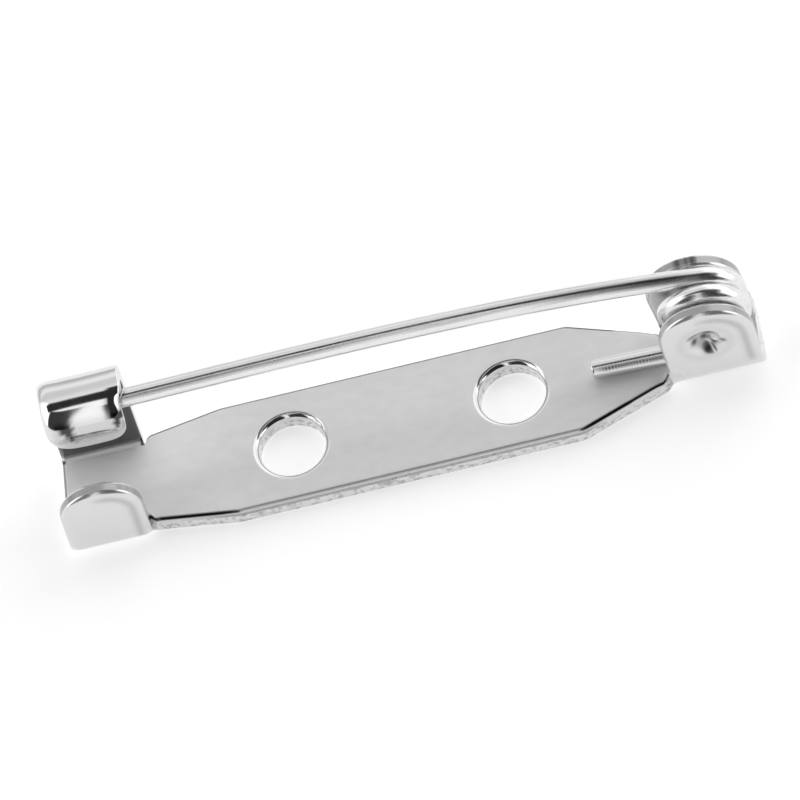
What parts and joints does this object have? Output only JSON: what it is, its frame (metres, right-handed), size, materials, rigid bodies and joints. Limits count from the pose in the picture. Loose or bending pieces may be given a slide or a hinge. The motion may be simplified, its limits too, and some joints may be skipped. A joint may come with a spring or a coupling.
{
  "type": "brooch pin finding",
  "caption": "Brooch pin back: flat drilled metal bar with a curled catch, a guard ear and a spring-coiled hinged pin.",
  "frame": {"origin": "middle of the bar's length and width, on its flat back", "axes": "+X along the bar towards the hinge, +Y towards the side that the catch is folded up from, +Z out of the back towards the pin"},
  "size_m": [0.0249, 0.0044, 0.0057],
  "materials": {
    "plated_sheet": "bright nickel-coloured plate over stamped sheet, speckled on the cut edges",
    "spring_wire": "bright plated drawn spring wire"
  },
  "bodies": {
    "base": {"base_plate": "plated_sheet", "spring_tail": "spring_wire"},
    "pin": {"pin_wire": "spring_wire"}
  },
  "joints": [
    {"name": "pin_swing", "type": "hinge", "parent": "base", "child": "pin", "pos_m": [0.01085, 0, 0.00315], "axis": [0, 1, 0], "range_deg": [0, 100]}
  ]
}
